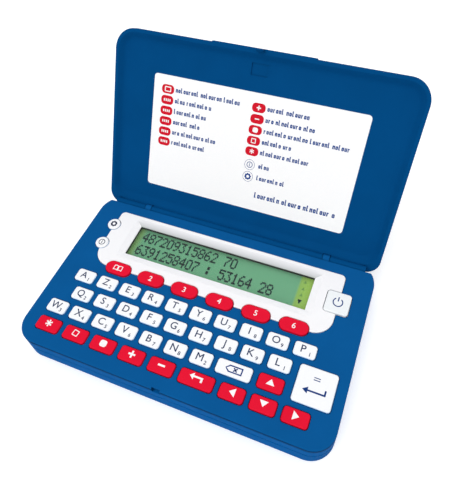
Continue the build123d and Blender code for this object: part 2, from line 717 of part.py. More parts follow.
# ---------------------------------------------------------------- lid
RECESS_DEPTH = LID_RECESS_REAR_Y - FRONT_Y - LID_RIM_WIDTH
RECESS_CENTRE_Y = LID_RECESS_REAR_Y - RECESS_DEPTH / 2
RECESS_WIDTH = BASE_WIDTH - 2 * LID_RIM_WIDTH
RECESS_RADIUS = CORNER_RADIUS - LID_RIM_WIDTH
ROUND_Y = LID_REAR_Y - LID_REAR_ROUND
ROUND_Z = LID_TOP_Z - LID_REAR_ROUND
EAR_GAP = EAR_WIDTH + 2 * CLEARANCE
TONGUE_TIP_Z = LID_RIM_Z - TONGUE_LENGTH
TONGUE_FRONT_Y = FRONT_Y - THUMB_LIP_REACH
TONGUE_BACK_Y = TONGUE_FRONT_Y + TONGUE_THICKNESS

# Profile of what is trimmed off to round the lid's outer rear edge.
with BuildPart() as rear_trim:
    with BuildSketch(across_at(0)):
        with Locations((ROUND_Y, ROUND_Z)):
            Rectangle(BASE_DEPTH, BASE_HEIGHT, align=(Align.MIN, Align.MIN))
            Circle(LID_REAR_ROUND, mode=Mode.SUBTRACT)
    extrude(amount=BASE_WIDTH, both=True)

# Hollow of the lid: its walls slope in to the floor and meet it in a broad curve.
with BuildPart() as recess:
    with BuildSketch(at_height(LID_RIM_Z)):
        with Locations((0, RECESS_CENTRE_Y)):
            RectangleRounded(RECESS_WIDTH, RECESS_DEPTH, RECESS_RADIUS)
    with BuildSketch(at_height(LID_FLOOR_Z)):
        with Locations((0, RECESS_CENTRE_Y)):
            RectangleRounded(
                RECESS_WIDTH - 2 * LID_SLOPE, RECESS_DEPTH - 2 * LID_SLOPE, RECESS_RADIUS - LID_SLOPE
            )
    loft()
    fillet(recess.faces().sort_by(Axis.Z)[-1].edges(), LID_SLOPE_ROUND)

# Lid tray with its hinge roll, pins and latch tongue, drawn closed.
with BuildPart() as closed_lid:
    with BuildSketch(at_height(LID_RIM_Z)):
        make_face(case_outline(BASE_WIDTH, FRONT_Y, LID_REAR_Y, CORNER_RADIUS, LID_REAR_CORNER))
    extrude(amount=LID_THICKNESS)
    fillet(closed_lid.faces().sort_by(Axis.Z)[-1].edges(), LID_EDGE_ROUND)
    add(recess.part, mode=Mode.SUBTRACT)
    with BuildSketch(at_height(LID_RIM_Z)):
        with Locations((0, FRONT_Y)):
            RectangleRounded(THUMB_LIP_WIDTH, 2 * THUMB_LIP_REACH, THUMB_LIP_CORNER)
    extrude(amount=THUMB_LIP_HEIGHT)
    # Roll along the rear edge, necked into the lid above it.
    with BuildSketch(across_at(-ROLL_LENGTH / 2)):
        with Locations((HINGE_Y, HINGE_Z)):
            Circle(ROLL_RADIUS)
        with Locations((HINGE_Y - ROLL_NECK_FRONT, HINGE_Z)):
            Rectangle(
                ROLL_NECK_FRONT + ROLL_RADIUS,
                LID_RIM_Z + NECK_OVERLAP - HINGE_Z,
                align=(Align.MIN, Align.MIN),
            )
    extrude(amount=ROLL_LENGTH)
    add(rear_trim.part, mode=Mode.SUBTRACT)
    # Room for the base's ears, bridged by the hinge pins.
    for side in (-1, 1):
        gap_plane = across_at(side * EAR_X - EAR_GAP / 2)
        with BuildSketch(gap_plane):
            with Locations((HINGE_Y, HINGE_Z)):
                Circle(EAR_RADIUS + CLEARANCE)
        extrude(amount=EAR_GAP, mode=Mode.SUBTRACT)
        with BuildSketch(gap_plane):
            with Locations((HINGE_Y, HINGE_Z)):
                Circle(PIN_RADIUS)
        extrude(amount=EAR_GAP)
    # Latch tongue at the free edge, with its barb and the square sink mark behind it.
    with BuildSketch(across_at(LATCH_X - TONGUE_WIDTH / 2)):
        with BuildLine():
            Polyline(
                (TONGUE_FRONT_Y, LID_RIM_Z + TONGUE_ROOT),
                (TONGUE_FRONT_Y, TONGUE_TIP_Z),
                (TONGUE_FRONT_Y + TONGUE_THICKNESS / 2, TONGUE_TIP_Z),
                (TONGUE_BACK_Y + BARB_DEPTH, TONGUE_TIP_Z + BARB_HEIGHT),
                (TONGUE_BACK_Y, TONGUE_TIP_Z + BARB_HEIGHT + BARB_BACK),
                (TONGUE_BACK_Y, LID_RIM_Z + TONGUE_ROOT),
                close=True,
            )
        make_face()
    extrude(amount=TONGUE_WIDTH)
    with BuildSketch(at_height(LID_FLOOR_Z)):
        with Locations((LATCH_X, LATCH_SINK_Y)):
            Rectangle(*LATCH_SINK_SIZE)
    extrude(amount=LATCH_SINK_DEPTH, mode=Mode.SUBTRACT)

# The lid turned open about its hinge.
with BuildPart() as lid_shell:
    add(closed_lid.part.rotate(HINGE_AXIS, -LID_OPEN_ANGLE))
write(lid_shell, "lid_shell")

# Printed card stuck to the lid's inner floor.
with BuildPart() as closed_card:
    with BuildSketch(at_height(LID_FLOOR_Z)):
        with Locations((0, CARD_Y)):
            RectangleRounded(CARD_WIDTH, CARD_HEIGHT, CARD_CORNER)
    extrude(amount=-CARD_THICKNESS)
with BuildPart() as lid_card:
    add(closed_card.part.rotate(HINGE_AXIS, -LID_OPEN_ANGLE))
write(lid_card, "lid_card")
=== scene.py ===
import math

import bpy
from mathutils import Matrix, Vector


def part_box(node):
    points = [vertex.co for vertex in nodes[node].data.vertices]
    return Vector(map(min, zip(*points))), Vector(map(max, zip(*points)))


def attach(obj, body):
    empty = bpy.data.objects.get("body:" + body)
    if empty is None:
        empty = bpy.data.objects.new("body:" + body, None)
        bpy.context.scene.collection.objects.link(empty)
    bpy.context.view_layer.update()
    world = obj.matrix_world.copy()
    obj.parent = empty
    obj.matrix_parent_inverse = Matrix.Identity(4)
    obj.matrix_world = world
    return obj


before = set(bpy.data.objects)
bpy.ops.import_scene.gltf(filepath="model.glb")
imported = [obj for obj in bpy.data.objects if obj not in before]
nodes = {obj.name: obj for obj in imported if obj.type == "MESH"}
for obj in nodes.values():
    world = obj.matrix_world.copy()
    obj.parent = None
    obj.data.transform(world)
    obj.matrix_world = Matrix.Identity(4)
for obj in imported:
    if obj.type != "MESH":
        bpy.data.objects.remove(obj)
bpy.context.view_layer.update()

MM = 0.001


# ---------------------------------------------------------------- bottom case
# Lower half of the casing, injection moulded in blue plastic with a satin face.  Its
# floor takes the four case screws and has the battery bay, which the door closes.

NO_TINT = [1, 1, 1, 1]
NOISE_LOW, NOISE_HIGH = 0.3, 0.7  # nearly all of a noise lies between these
CLOUDS = (70.0, 3.0)            # lumps to the metre and detail of the cloudiness in a plastic
SCUFFS = (420.0, 4.0)           # and of the patches that shine more or less
SPARK = (3200.0, 1.0)           # and of the grain that the tool leaves
# the painted groove shade is darkest where only this share of the sky shows
DEEPEST = 0.35                  # share of the sky that shows where a groove is darkest
UNEVEN = 0.05                   # the roughness strays so far either way
# the painted light and shade by height reaches up to here
SHADING_TOP = 15.0                 # tints by height reach up to here
# painted light on the side walls, and painted shade along the crease under the top edge
PAINTED_WALL_LIGHT = [0.6, 1.14, 1.2, 1]
PAINTED_CREASE_SHADE = [0.6, 0.6, 0.62, 1]


def paint(red, green, blue):
    """A colour given as it looks, each part from 0 to 255, as the renderer wants it."""
    parts = [part / 255 for part in (red, green, blue)]
    return [p / 12.92 if p <= 0.04045 else ((p + 0.055) / 1.055) ** 2.4 for p in parts] + [1.0]


def tinted(colour, share):
    """The same colour, lighter or darker by a share."""
    return [min(1.0, part * share) for part in colour[:3]] + [1.0]


def new_material(name):
    """An empty finish: its shader, its nodes, its links and the place on the piece."""
    material = bpy.data.materials.new(name)
    material.use_nodes = True
    tree = material.node_tree
    place = tree.nodes.new("ShaderNodeTexCoord").outputs["Object"]
    return material, tree.nodes["Principled BSDF"], tree.nodes, tree.links.new, place


def two_tones(first, second):
    """Stops that spread two colours over a noise."""
    return [(NOISE_LOW, first), (NOISE_HIGH, second)]


def noise(tree, link, place, scale, detail=2.0):
    """A noise over the piece, with so many lumps to the metre."""
    texture = tree.new("ShaderNodeTexNoise")
    texture.inputs["Scale"].default_value = scale
    texture.inputs["Detail"].default_value = detail
    link(place, texture.inputs["Vector"])
    return texture.outputs["Fac"]


def ramp(tree, link, value, stops):
    """Colours spread over a value, from a list of places and colours."""
    node = tree.new("ShaderNodeValToRGB")
    band = node.color_ramp
    band.elements[0].position, band.elements[0].color = stops[0]
    band.elements[1].position, band.elements[1].color = stops[-1]
    for position, colour in stops[1:-1]:
        band.elements.new(position).color = colour
    link(value, node.inputs["Fac"])
    return node.outputs["Color"]


def spread(tree, link, value, low, high):
    """A noise, brought between two limits."""
    node = tree.new("ShaderNodeMapRange")
    node.inputs["From Min"].default_value = NOISE_LOW
    node.inputs["From Max"].default_value = NOISE_HIGH
    node.inputs["To Min"].default_value = low
    node.inputs["To Max"].default_value = high
    link(value, node.inputs["Value"])
    return node.outputs["Result"]


def along(tree, link, place, axis, low, high):
    """How far a point lies between two places on an axis of the piece, from 0 to 1."""
    split = tree.new("ShaderNodeSeparateXYZ")
    link(place, split.inputs["Vector"])
    part = tree.new("ShaderNodeMapRange")
    part.inputs["From Min"].default_value = low * MM
    part.inputs["From Max"].default_value = high * MM
    link(split.outputs[axis], part.inputs["Value"])
    return part.outputs["Result"]


def grain(tree, link, shader, height, depth):
    """Relief from a value, so many metres deep."""
    bump = tree.new("ShaderNodeBump")
    bump.inputs["Strength"].default_value = 1.0
    bump.inputs["Distance"].default_value = depth
    link(height, bump.inputs["Height"])
    link(bump.outputs["Normal"], shader.inputs["Normal"])


def multiply(tree, link, first, second):
    """Two colours multiplied."""
    node = tree.new("ShaderNodeMix")
    node.data_type = "RGBA"
    node.blend_type = "MULTIPLY"
    node.inputs["Factor"].default_value = 1.0
    link(first, node.inputs["A"])
    link(second, node.inputs["B"])
    return node.outputs["Result"]


def grime(tree, link, colour, dark, reach=1.2, lit_share=0.8):
    """A colour painted darker in the piece's own grooves and inner corners, as shade.  What is
    nearer than the reach, in millimetres, hides the sky, and where the lit share of it shows the
    colour stays."""
    hidden = tree.new("ShaderNodeAmbientOcclusion")
    hidden.samples = 8
    hidden.only_local = True
    hidden.inputs["Distance"].default_value = reach * MM
    stops = [(DEEPEST, [dark] * 3 + [1]), (lit_share, NO_TINT)]
    shade = ramp(tree, link, hidden.outputs["AO"], stops)
    return multiply(tree, link, colour, shade)


def moulded_plastic(
    name, colour, roughness, specular, cloud=0.04, texture_depth=6e-6, dark=0.4, reach=1.2, lit_share=0.8
):
    """Moulded plastic: fine spark grain from the tool, a faint cloudiness in the colour and painted
    shade in its grooves.
    """
    material, shader, tree, link, place = new_material(name)
    shader.inputs["Specular IOR Level"].default_value = specular
    clouds = noise(tree, link, place, *CLOUDS)
    stops = two_tones(tinted(colour, 1 - cloud), tinted(colour, 1 + cloud))
    even = ramp(tree, link, clouds, stops)
    link(grime(tree, link, even, dark, reach, lit_share), shader.inputs["Base Color"])
    scuffs = noise(tree, link, place, *SCUFFS)
    shine = spread(tree, link, scuffs, roughness - UNEVEN, roughness + UNEVEN)
    link(shine, shader.inputs["Roughness"])
    grain(tree, link, shader, noise(tree, link, place, *SPARK), texture_depth)
    return material


def finish(names, material):
    """Give CAD pieces their finish."""
    for name in names:
        for place in nodes[name].material_slots:
            place.material = material


def tints_along(tree, link, place, axis, top, tints):
    """Painted light and shade spread over an axis of the piece, from a list of millimetres and
    tints.
    """
    stops = [(millimetres / top, tint) for millimetres, tint in tints]
    return ramp(tree, link, along(tree, link, place, axis, 0.0, top), stops)


def tint_by_height(material, tints):
    """Paint light and shade into a finish by height, from a list of heights over the base and tints.
    """
    tree, link = material.node_tree.nodes, material.node_tree.links.new
    colour = tree["Principled BSDF"].inputs["Base Color"]
    plain = colour.links[0].from_socket
    place = tree["Texture Coordinate"].outputs["Object"]
    tint = tints_along(tree, link, place, "Z", SHADING_TOP, tints)
    link(multiply(tree, link, plain, tint), colour)


case_blue = moulded_plastic(
    "case_blue", paint(12, 87, 149), roughness=0.45, specular=0.004, dark=0.45, reach=1.5, lit_share=0.9
)
# The case's blue is painted lighter on its side walls as light, and darker in a band along the
# crease under the top edge as shade.
case_light_and_shade = [(10.78, PAINTED_WALL_LIGHT), (11.62, PAINTED_CREASE_SHADE), (12.81, PAINTED_CREASE_SHADE), (13.16, NO_TINT)]
tint_by_height(case_blue, case_light_and_shade)
finish(["bottom_case"], case_blue)


# ---------------------------------------------------------------- battery door and cells
# A flat door of the same blue plastic, held by one screw, over two steel coin cells.
# Sprung strips of plated metal join the cells to the board.

SCRATCH_STRETCH = (0.05, 1.0, 1.0)  # scratches are drawn out along X
SCRATCH_SHADE = 0.85            # how dark the metal looks in a scratch
SCRATCH_SHINE = 0.08            # how far the scratches change the roughness


def plated_steel(name, colour, roughness, scratches):
    """Plated steel with fine scratches along X, so many to the metre."""
    material, shader, tree, link, place = new_material(name)
    shader.inputs["Metallic"].default_value = 1.0
    stretch = tree.new("ShaderNodeMapping")
    stretch.inputs["Scale"].default_value = SCRATCH_STRETCH
    link(place, stretch.inputs["Vector"])
    lines = noise(tree, link, stretch.outputs["Vector"], scratches, detail=3.0)
    stops = two_tones(tinted(colour, SCRATCH_SHADE), colour)
    link(ramp(tree, link, lines, stops), shader.inputs["Base Color"])
    shine = spread(tree, link, lines, roughness - SCRATCH_SHINE, roughness + SCRATCH_SHINE)
    link(shine, shader.inputs["Roughness"])
    grain(tree, link, shader, lines, depth=4e-6)
    return material


finish(["battery_door"], case_blue)
cell_steel = plated_steel("cell_steel", paint(205, 207, 210), roughness=0.28, scratches=2500.0)
finish(["coin_cells"], cell_steel)
strip_metal = plated_steel("contact_strip", paint(196, 192, 178), roughness=0.35, scratches=1800.0)
finish(["battery_contacts"], strip_metal)


# ---------------------------------------------------------------- circuit board
# Glass fibre board under green solder mask, with straight copper tracks showing paler
# through it.  It lies on the bottom case's supports.

def solder_mask():
    """Green mask over rows of straight copper tracks."""
    material, shader, tree, link, place = new_material("solder_mask")
    tracks = tree.new("ShaderNodeTexBrick")
    tracks.offset = 0.37
    tracks.inputs["Scale"].default_value = 130.0
    tracks.inputs["Mortar Size"].default_value = 0.035
    tracks.inputs["Brick Width"].default_value = 0.9
    tracks.inputs["Row Height"].default_value = 0.16
    tracks.inputs["Color1"].default_value = paint(16, 92, 48)
    tracks.inputs["Color2"].default_value = paint(18, 98, 52)
    tracks.inputs["Mortar"].default_value = paint(58, 140, 84)
    link(place, tracks.inputs["Vector"])
    link(tracks.outputs["Color"], shader.inputs["Base Color"])
    shader.inputs["Roughness"].default_value = 0.35
    grain(tree, link, shader, tracks.outputs["Fac"], depth=2e-5)
    return material


finish(["main_board"], solder_mask())


# ---------------------------------------------------------------- display module
# Two line liquid crystal panel in a black frame.  The glass is grey green over the
# characters and yellow green round them and in the marker column at the right.

DOT = (0.53, 0.77)              # spacing of the dots in a character, across and up
DOT_INK = 1.0                   # how much of its spacing a dot fills
DOT_BLEED = 0.12                # a lit dot spreads this far to the right
DOT_SHADOW = (0.2, -0.2)        # a lit dot throws a faint shadow on the panel's back
CHARACTER_PITCH = 3.1
CHARACTER_LEFT = -38.7
LINE_BOTTOMS = (20.0, 12.95)
LINES = ("487209315862 70", "6391258407 : 53164 28")
COLUMN_LEFT = 35.9              # the marker column is yellow green from here
BORDER = (-41.6, 41.7, 11.0, 26.6)  # left, right, front and rear of the part that is not black
MARKER_X = 37.9
MARKER = (1.7, 1.9)             # base and height of the marker that is lit
MARKER_Y = 14.5
FAINT_MARKER = (1.4, 1.6)       # base and height of the unlit ones
FAINT_MARKER_ROWS = (24.3, 20.9, 17.9)
FRAME_WIDTH = 1.3
GLASS_Z = 10.7                  # the panel's underside
GLASS_THICKNESS = 0.2
INK = 0.02                      # thickness of anything printed
INK_ROUGHNESS = 0.45
INK_CLOUD = 0.06                # how uneven the ink's colour is
EDGE_GREENS = (                 # from the left border, as a share of the panel's width
    (0.0, (100, 146, 76)),
    (0.02, (108, 156, 90)),
    (0.045, (96, 163, 122)),
)
COLUMN_GREENS = (               # from the marker column's left edge, as the same share
    (-0.006, (102, 168, 126)),
    (0.004, (140, 184, 84)),
)
RIGHT_GREEN = (156, 198, 76)
# a painted glow along the front edge and painted shade along the rear edge
DISPLAY_GLOW_AND_SHADE = (               # from front to rear, as a share: a glow, then shade
    (0.0, [1.5, 1.3, 1.0, 1]),
    (0.07, NO_TINT),
    (0.85, NO_TINT),
    (1.0, [0.8, 0.8, 0.8, 1]),
)
CELL_TINT = (0.95, 0.96, 0.97, 1)  # of an unlit character

DIGIT_DOTS = {
    "0": ("01110", "10001", "10001", "10001", "10001", "10001", "01110"),
    "1": ("00100", "01100", "00100", "00100", "00100", "00100", "01110"),
    "2": ("01110", "10001", "00001", "00010", "00100", "01000", "11111"),
    "3": ("11111", "00010", "00100", "00010", "00001", "10001", "01110"),
    "4": ("00010", "00110", "01010", "10010", "11111", "00010", "00010"),
    "5": ("11111", "10000", "11110", "00001", "00001", "10001", "01110"),
    "6": ("00110", "01000", "10000", "11110", "10001", "10001", "01110"),
    "7": ("11111", "00001", "00010", "00100", "01000", "01000", "01000"),
    "8": ("01110", "10001", "10001", "01110", "10001", "10001", "01110"),
    "9": ("01110", "10001", "10001", "01111", "00001", "00010", "01100"),
    ":": ("00000", "01100", "01100", "00000", "01100", "01100", "00000"),
    " ": ("00000",) * 7,
}


def flat_print(name, outlines, material, thickness=INK):
    """Flat shapes in X and Y from closed outlines in millimetres, as one thin layer at Z 0.
    An outline inside another one is a hole in it."""
    curve = bpy.data.curves.new(name, "CURVE")
    curve.dimensions = "2D"
    curve.fill_mode = "BOTH"
    curve.extrude = thickness * MM / 2
    for outline in outlines:
        spline = curve.splines.new("POLY")
        spline.points.add(len(outline) - 1)
        for point, (x, y) in zip(spline.points, outline):
            point.co = (x * MM, y * MM, 0, 1)
        spline.use_cyclic_u = True
    drawn = bpy.data.objects.new(name, curve)
    bpy.context.collection.objects.link(drawn)
    return as_mesh(drawn, material)


def as_mesh(drawn, material):
    """Turn a text or a flat curve into a mesh piece with its finish."""
    bpy.ops.object.select_all(action="DESELECT")
    drawn.select_set(True)
    bpy.context.view_layer.objects.active = drawn
    bpy.ops.object.convert(target="MESH")
    piece = bpy.context.object
    piece.data.materials.clear()
    piece.data.materials.append(material)
    return piece


def put(piece, x, y, z, body):
    """Move a flat piece to its place in millimetres, and fix it to a body."""
    piece.data.transform(Matrix.Translation(Vector((x, y, z)) * MM))
    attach(piece, body)
    return piece


def join(pieces, name):
    """Several prints as one piece."""
    bpy.ops.object.select_all(action="DESELECT")
    for piece in pieces:
        piece.select_set(True)
    bpy.context.view_layer.objects.active = pieces[0]
    if len(pieces) > 1:
        bpy.ops.object.join()
    pieces[0].name = name
    return pieces[0]


def box_outline(x, y, width, height):
    """A rectangle about a centre."""
    w, h = width / 2, height / 2
    return [(x - w, y - h), (x + w, y - h), (x + w, y + h), (x - w, y + h)]


def triangle(x, y, width, height):
    """A triangle that points up, about the centre of its box."""
    w, h = width / 2, height / 2
    return [(x - w, y - h), (x + w, y - h), (x, y + h)]


def character_dots(character, left, bottom):
    """The dots of one character that are lit, each a small rectangle."""
    dots = []
    for row, line in enumerate(reversed(DIGIT_DOTS[character])):
        for column, lit in enumerate(line):
            if lit == "1":
                x = left + (column + 0.5) * DOT[0]
                y = bottom + (row + 0.5) * DOT[1]
                dots.append(box_outline(x, y, DOT[0] * DOT_INK, DOT[1] * DOT_INK))
    return dots


def display_glass_finish():
    """The panel's greens across X, a painted glow at the front and painted shade at the rear along
    Y, and its unlit characters just showing.
    """
    material, shader, tree, link, place = new_material("display_green")
    left, right, front, rear = BORDER
    column = (COLUMN_LEFT - left) / (right - left)
    stops = [(share, paint(*green)) for share, green in EDGE_GREENS]
    stops += [(column + share, paint(*green)) for share, green in COLUMN_GREENS]
    stops.append((1.0, paint(*RIGHT_GREEN)))
    greens = ramp(tree, link, along(tree, link, place, "X", left, right), stops)
    shades = ramp(tree, link, along(tree, link, place, "Y", front, rear), DISPLAY_GLOW_AND_SHADE)
    lit = multiply(tree, link, greens, shades)
    cells = tree.new("ShaderNodeTexBrick")
    cells.offset = 0.0
    cells.inputs["Scale"].default_value = 1 / MM
    cells.inputs["Brick Width"].default_value = CHARACTER_PITCH
    cells.inputs["Row Height"].default_value = LINE_BOTTOMS[0] - LINE_BOTTOMS[1]
    cells.inputs["Mortar Size"].default_value = 0.25
    cells.inputs["Mortar Smooth"].default_value = 0.4
    cells.inputs["Color1"].default_value = CELL_TINT
    cells.inputs["Color2"].default_value = CELL_TINT
    cells.inputs["Mortar"].default_value = NO_TINT
    shift = tree.new("ShaderNodeMapping")
    shift.inputs["Location"].default_value = (-CHARACTER_LEFT * MM, -LINE_BOTTOMS[1] * MM, 0)
    link(place, shift.inputs["Vector"])
    link(shift.outputs["Vector"], cells.inputs["Vector"])
    link(multiply(tree, link, lit, cells.outputs["Color"]), shader.inputs["Base Color"])
    shader.inputs["Roughness"].default_value = 0.3
    shader.inputs["Specular IOR Level"].default_value = 0.1
    grain(tree, link, shader, noise(tree, link, place, scale=900.0), depth=2e-6)
    return material


def printing_ink(name, colour):
    """A thin layer of ink, a little uneven in depth of colour."""
    material, shader, tree, link, place = new_material(name)
    shader.inputs["Specular IOR Level"].default_value = 0.1
    patches = noise(tree, link, place, scale=900.0)
    stops = two_tones(tinted(colour, 1 - INK_CLOUD), tinted(colour, 1 + INK_CLOUD))
    link(ramp(tree, link, patches, stops), shader.inputs["Base Color"])
    shine = spread(tree, link, patches, INK_ROUGHNESS - UNEVEN, INK_ROUGHNESS + UNEVEN)
    link(shine, shader.inputs["Roughness"])
    return material


def on_glass(piece, x=0.0, y=0.0, layer=0):
    """Lay a print on the display's panel, over earlier layers."""
    return put(piece, x, y, GLASS_Z + GLASS_THICKNESS + (layer + 0.5) * INK, "base")


frame_black = moulded_plastic("frame_black", paint(26, 30, 28), roughness=0.5, specular=0.2)
finish(["lcd_module"], frame_black)
module_low, module_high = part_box("lcd_module")
panel_width = (module_high.x - module_low.x) / MM - 2 * FRAME_WIDTH
panel_depth = (module_high.y - module_low.y) / MM - 2 * FRAME_WIDTH
panel_y = (module_high.y + module_low.y) / 2 / MM
panel = flat_print(
    "display_glass",
    [box_outline(0, panel_y, panel_width, panel_depth)],
    display_glass_finish(),
    GLASS_THICKNESS,
)
put(panel, 0, 0, GLASS_Z + GLASS_THICKNESS / 2, "base")

# The black border round the panel's green part is partly the panel's own border and partly painted
# shade under the bezel's edge.
border_and_shade_ink = printing_ink("border_and_shade_ink", paint(16, 24, 18))
left, right, front, rear = BORDER
border = [
    box_outline(0, panel_y, panel_width, panel_depth),
    box_outline((left + right) / 2, (front + rear) / 2, right - left, rear - front),
]
on_glass(flat_print("display_border_and_shade", border, border_and_shade_ink))

segment_ink = printing_ink("segment_ink", paint(2, 58, 60))
segments = []
for text, bottom in zip(LINES, LINE_BOTTOMS):
    for count, character in enumerate(text):
        segments += character_dots(character, CHARACTER_LEFT + count * CHARACTER_PITCH, bottom)
segments.append([(x, 2 * MARKER_Y - y) for x, y in triangle(MARKER_X, MARKER_Y, *MARKER)])
characters = [flat_print("dots", segments, segment_ink) for _ in range(2)]
characters[1].data.transform(Matrix.Translation((DOT_BLEED * MM, 0, 0)))
on_glass(join(characters, "display_characters"), layer=1)
shadow_ink = printing_ink("segment_shadow", paint(66, 128, 100))
on_glass(flat_print("display_shadow", segments, shadow_ink), *DOT_SHADOW)

faint_marks = [triangle(MARKER_X, y, *FAINT_MARKER) for y in FAINT_MARKER_ROWS]
faint_ink = printing_ink("segment_ink_faint", paint(106, 152, 72))
on_glass(flat_print("display_markers", faint_marks, faint_ink))


# ---------------------------------------------------------------- key mat
# One sheet of milky silicone rubber with a dome under each key, laid on the board.

def silicone():
    """Milky silicone: soft, matt and a little translucent."""
    material, shader, tree, link, place = new_material("silicone")
    shader.inputs["Subsurface Weight"].default_value = 0.2
    shader.inputs["Subsurface Scale"].default_value = 0.0015
    haze = noise(tree, link, place, scale=160.0, detail=3.0)
    stops = two_tones(paint(186, 188, 182), paint(200, 201, 196))
    link(ramp(tree, link, haze, stops), shader.inputs["Base Color"])
    link(spread(tree, link, haze, low=0.55, high=0.7), shader.inputs["Roughness"])
    grain(tree, link, shader, noise(tree, link, place, scale=1800.0), depth=8e-6)
    return material


finish(["key_mat"], silicone())


# ---------------------------------------------------------------- top case
# Upper half of the casing in the same blue plastic.  All the keys come up through it,
# and the lid's pins turn in the two ears in the trough along its rear edge.

finish(["top_case"], case_blue)


# ---------------------------------------------------------------- display bezel and window
# White satin plastic frame set into the top case over the display, its inner edges
# sloping down to a clear acrylic window.

# The slopes round the window are painted lighter in front of it and greyer behind it, as light and
# shade.
BEZEL_REAR = 30.0               # the tints of the slopes reach up to here along Y
PAINTED_SLOPE_SHADE = (                 # places along Y and tints
    (10.8, [1.05, 1.05, 1.05, 1]),
    (26.4, [0.58, 0.6, 0.6, 1]),
    (29.4, [0.9, 0.9, 0.92, 1]),
)
SLOPE_TILT = (0.08, 0.28)       # part of the normal along Y where the shading starts and is full


def clear_acrylic():
    """Clear sheet that lets the display through, with a faint polish haze."""
    material, shader, tree, link, place = new_material("clear_acrylic")
    shader.inputs["Base Color"].default_value = paint(250, 252, 250)
    shader.inputs["Alpha"].default_value = 0.02
    shader.inputs["Specular IOR Level"].default_value = 0.2
    haze = noise(tree, link, place, scale=220.0)
    link(spread(tree, link, haze, low=0.03, high=0.08), shader.inputs["Roughness"])
    return material


def slope_shading(material):
    """Shade the slopes round the window: whiter in front of it, greyer behind it."""
    tree, link = material.node_tree.nodes, material.node_tree.links.new
    colour = tree["Principled BSDF"].inputs["Base Color"]
    plain = colour.links[0].from_socket
    place = tree["Texture Coordinate"]
    facing = tree.new("ShaderNodeSeparateXYZ")
    link(place.outputs["Normal"], facing.inputs["Vector"])
    tilt = tree.new("ShaderNodeMath")
    tilt.operation = "ABSOLUTE"
    link(facing.outputs["Y"], tilt.inputs[0])
    sloped = tree.new("ShaderNodeMapRange")
    sloped.inputs["From Min"].default_value, sloped.inputs["From Max"].default_value = SLOPE_TILT
    link(tilt.outputs["Value"], sloped.inputs["Value"])
    tint = tints_along(tree, link, place.outputs["Object"], "Y", BEZEL_REAR, PAINTED_SLOPE_SHADE)
    shaded = multiply(tree, link, plain, tint)
    both = tree.new("ShaderNodeMix")
    both.data_type = "RGBA"
    link(sloped.outputs["Result"], both.inputs["Factor"])
    link(plain, both.inputs["A"])
    link(shaded, both.inputs["B"])
    link(both.outputs["Result"], colour)


bezel_white = moulded_plastic(
    "bezel_white", paint(248, 248, 250), roughness=0.4, specular=0.1, cloud=0.006, dark=0.8
)
slope_shading(bezel_white)
finish(["display_bezel"], bezel_white)
finish(["display_lens"], clear_acrylic())


# ---------------------------------------------------------------- letter keys
# Hard white keycaps on the silicone domes, their sides painted dark blue low down as shade and light
# thrown back by the blue case they stand in.  Each has its letter in grey blue towards the upper
# left, and a small figure.

LETTERS = "azertyuiopqsdfghjklmwxcvbn"
LETTER_HEIGHT = 2.9
LETTER_PLACE = (-0.7, 0.3)      # off the key's centre
FIGURE_HEIGHT = 1.5
FIGURE_PLACE = (2.05, -1.25)
FIGURES = 9                     # the figures run from 1 to 9 in turn
CAPITAL_SHARE = 0.682           # height of a capital in text of size 1
BOLDER = 0.03                   # letters are printed this much wider all round
KEY_GRAIN = 3e-6                # keycaps have a finer grain than the case
# the keycaps' sides are painted dark blue deep in the gap and bluish at its mouth, as shade and
# thrown-back light
KEY_GAP_SHADE = [                   # heights and tints: blue in the gap, white at the top
    (13.425, [0.06, 0.4, 0.9, 1]),
    (13.575, [0.4, 0.72, 1.06, 1]),
    (14.13, NO_TINT),
]


def printed_text(name, text, height, material, x=0.0, y=0.0):
    """One line of plain text as a thin layer, its capitals centred on a point."""
    words = bpy.data.curves.new(name, "FONT")
    words.body = text
    words.size = height * MM / CAPITAL_SHARE
    words.extrude = INK * MM / 2
    words.bevel_depth = BOLDER * MM
    words.bevel_resolution = 0
    words.resolution_u = 4
    drawn = bpy.data.objects.new(name, words)
    bpy.context.collection.objects.link(drawn)
    piece = as_mesh(drawn, material)
    across = [vertex.co.x for vertex in piece.data.vertices]
    middle = (min(across) + max(across)) / 2
    piece.data.transform(Matrix.Translation((x * MM - middle, (y - height / 2) * MM, 0)))
    return piece


def on_key(piece, key, y=0.0):
    """Lay a print on a key's top, behind its centre by y, so that it moves with the key."""
    low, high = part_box(key)
    middle = (low + high) / 2 / MM
    return put(piece, middle.x, middle.y + y, high.z / MM + INK / 2, key + "_body")


key_white = moulded_plastic(
    "key_white", paint(250, 251, 253), 0.38, 0.15, cloud=0.006, texture_depth=KEY_GRAIN, dark=0.85
)
tint_by_height(key_white, KEY_GAP_SHADE)
letter_ink = printing_ink("letter_ink", paint(40, 56, 92))
finish(["key_" + letter for letter in LETTERS], key_white)
for count, letter in enumerate(LETTERS):
    capital = printed_text("capital", letter.upper(), LETTER_HEIGHT, letter_ink, *LETTER_PLACE)
    figure = printed_text(
        "figure", str(count % FIGURES + 1), FIGURE_HEIGHT, letter_ink, *FIGURE_PLACE
    )
    on_key(join([capital, figure], "print_" + letter), "key_" + letter)


# ---------------------------------------------------------------- clear, enter and power keys
# Three larger keycaps, two white and the power key frosty, printed with navy blue signs.

